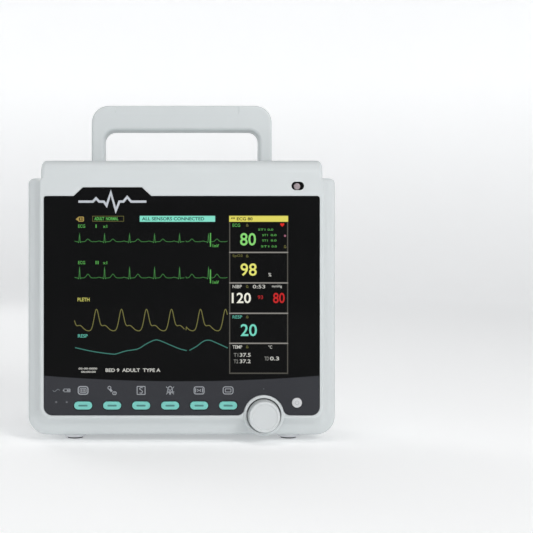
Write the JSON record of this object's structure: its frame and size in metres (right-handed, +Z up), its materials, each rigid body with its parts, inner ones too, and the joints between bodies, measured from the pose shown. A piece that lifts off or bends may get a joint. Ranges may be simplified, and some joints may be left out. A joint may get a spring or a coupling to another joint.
{
  "type": "patient monitor",
  "caption": "Portable bedside patient monitor with a colour display, a row of keys, a push-and-turn knob, a carrying handle and sockets for the patient leads.",
  "frame": {"origin": "middle of the base, on the surface that the feet stand on", "axes": "+X to the right seen from the front, +Y from the front to the back, +Z up"},
  "size_m": [0.311, 0.15, 0.3475],
  "materials": {
    "housing_plastic": "fine satin moulded texture",
    "foot_plastic": "satin",
    "foot_rubber": "matt",
    "window_acrylic": "high gloss black, dark grey band at the bottom",
    "key_plastic": "satin teal",
    "button_plastic": "satin white",
    "knob_plastic": "satin",
    "light_lens": "clear lens",
    "circuit_board": "lacquered green",
    "silicone": "matt translucent grey",
    "dark_plastic": "satin black",
    "steel": "zinc plated",
    "brass": "turned",
    "display_glass": "black display glass",
    "aluminium": "satin",
    "speaker_cone": "pressed cone",
    "side_panel_plastic": "satin grey",
    "ecg_green": "satin",
    "oxygen_blue": "satin",
    "socket_grey": "satin"
  },
  "bodies": {
    "monitor": {"alarm_board": "circuit_board", "alarm_lens": "light_lens", "alarm_window": "window_acrylic", "battery_cover": "housing_plastic", "battery_cover_screws": "steel", "battery_pack": "dark_plastic", "board_screws": "steel", "chassis": "steel", "cuff_air_port": "aluminium", "cuff_hose": "silicone", "cuff_pump": "steel", "cuff_valve": "dark_plastic", "display_glass": "display_glass", "display_tray": "aluminium", "earth_stud": "brass", "ecg_socket": "ecg_green", "encoder_housing": "dark_plastic", "foot_cup_back_left": "foot_plastic", "foot_cup_back_right": "foot_plastic", "foot_cup_front_left": "foot_plastic", "foot_cup_front_right": "foot_plastic", "foot_pad_back_left": "foot_rubber", "foot_pad_back_right": "foot_rubber", "foot_pad_front_left": "foot_rubber", "foot_pad_front_right": "foot_rubber", "front_bezel": "housing_plastic", "fuse_holders": "dark_plastic", "gas_module_socket": "socket_grey", "handle": "housing_plastic", "handle_screws": "steel", "housing_screws": "steel", "key_board": "circuit_board", "key_pad": "silicone", "main_board": "circuit_board", "mains_inlet": "dark_plastic", "measuring_board": "circuit_board", "mount_inserts": "brass", "network_port": "dark_plastic", "oxygen_socket": "oxygen_blue", "power_supply": "aluminium", "power_switch": "dark_plastic", "rear_housing": "housing_plastic", "side_panel": "side_panel_plastic", "speaker": "speaker_cone", "status_lights": "light_lens", "temperature_jack_1": "socket_grey", "temperature_jack_2": "socket_grey", "window_panel": "window_acrylic"},
    "key_1_body": {"key_1": "key_plastic"},
    "key_2_body": {"key_2": "key_plastic"},
    "key_3_body": {"key_3": "key_plastic"},
    "key_4_body": {"key_4": "key_plastic"},
    "key_5_body": {"key_5": "key_plastic"},
    "key_6_body": {"key_6": "key_plastic"},
    "power_button_body": {"power_button": "button_plastic"},
    "plunger_body": {"encoder_plunger": "steel"},
    "knob_body": {"knob": "knob_plastic", "encoder_shaft": "steel"}
  },
  "joints": [
    {"name": "key_1_press", "type": "slide", "parent": "monitor", "child": "key_1_body", "axis": [0, 1, 0], "range_m": [0, 0.0012], "stiffness_N_per_m": 900, "springref_m": -0.0003},
    {"name": "key_2_press", "type": "slide", "parent": "monitor", "child": "key_2_body", "axis": [0, 1, 0], "range_m": [0, 0.0012], "stiffness_N_per_m": 900, "springref_m": -0.0003},
    {"name": "key_3_press", "type": "slide", "parent": "monitor", "child": "key_3_body", "axis": [0, 1, 0], "range_m": [0, 0.0012], "stiffness_N_per_m": 900, "springref_m": -0.0003},
    {"name": "key_4_press", "type": "slide", "parent": "monitor", "child": "key_4_body", "axis": [0, 1, 0], "range_m": [0, 0.0012], "stiffness_N_per_m": 900, "springref_m": -0.0003},
    {"name": "key_5_press", "type": "slide", "parent": "monitor", "child": "key_5_body", "axis": [0, 1, 0], "range_m": [0, 0.0012], "stiffness_N_per_m": 900, "springref_m": -0.0003},
    {"name": "key_6_press", "type": "slide", "parent": "monitor", "child": "key_6_body", "axis": [0, 1, 0], "range_m": [0, 0.0012], "stiffness_N_per_m": 900, "springref_m": -0.0003},
    {"name": "power_press", "type": "slide", "parent": "monitor", "child": "power_button_body", "axis": [0, 1, 0], "range_m": [0, 0.0012], "stiffness_N_per_m": 900, "springref_m": -0.0003},
    {"name": "knob_press", "type": "slide", "parent": "monitor", "child": "plunger_body", "axis": [0, 1, 0], "range_m": [0, 0.0008], "stiffness_N_per_m": 5000, "springref_m": -0.0003},
    {"name": "knob_turn", "type": "hinge", "parent": "plunger_body", "child": "knob_body", "pos_m": [0.082, -0.0735, 0.0282], "axis": [0, -1, 0], "continuous": true}
  ]
}
